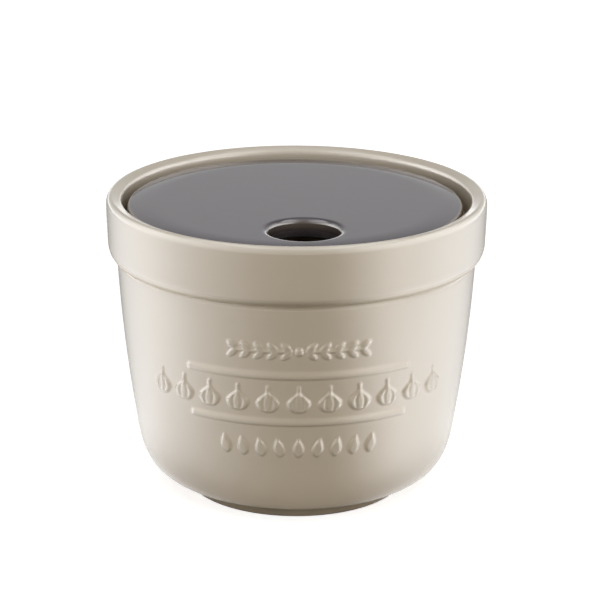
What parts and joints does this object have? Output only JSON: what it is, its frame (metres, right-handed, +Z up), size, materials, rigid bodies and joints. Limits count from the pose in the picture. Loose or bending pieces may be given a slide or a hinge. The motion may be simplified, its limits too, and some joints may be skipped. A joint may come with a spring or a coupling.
{
  "type": "garlic keeper",
  "caption": "Round glazed stoneware jar for garlic with a banded rim, bars raised round the front, a small foot ring and a flat lid sunk in the rim with a finger hole near its edge.",
  "frame": {"origin": "on the table, at the centre of the jar's foot ring", "axes": "+Z up along the jar's axis; the decorated front faces -Y, and +X is to the right as seen from the front"},
  "size_m": [0.12, 0.12, 0.0958],
  "materials": {
    "cream_glaze": "gloss",
    "grey_glaze": "gloss"
  },
  "bodies": {
    "jar": {"jar": "cream_glaze"},
    "lid": {"lid": "grey_glaze"}
  },
  "joints": [
    {"name": "lid_lift", "type": "slide", "parent": "jar", "child": "lid", "axis": [0, 0, 1], "range_m": [0, 0.12]}
  ]
}
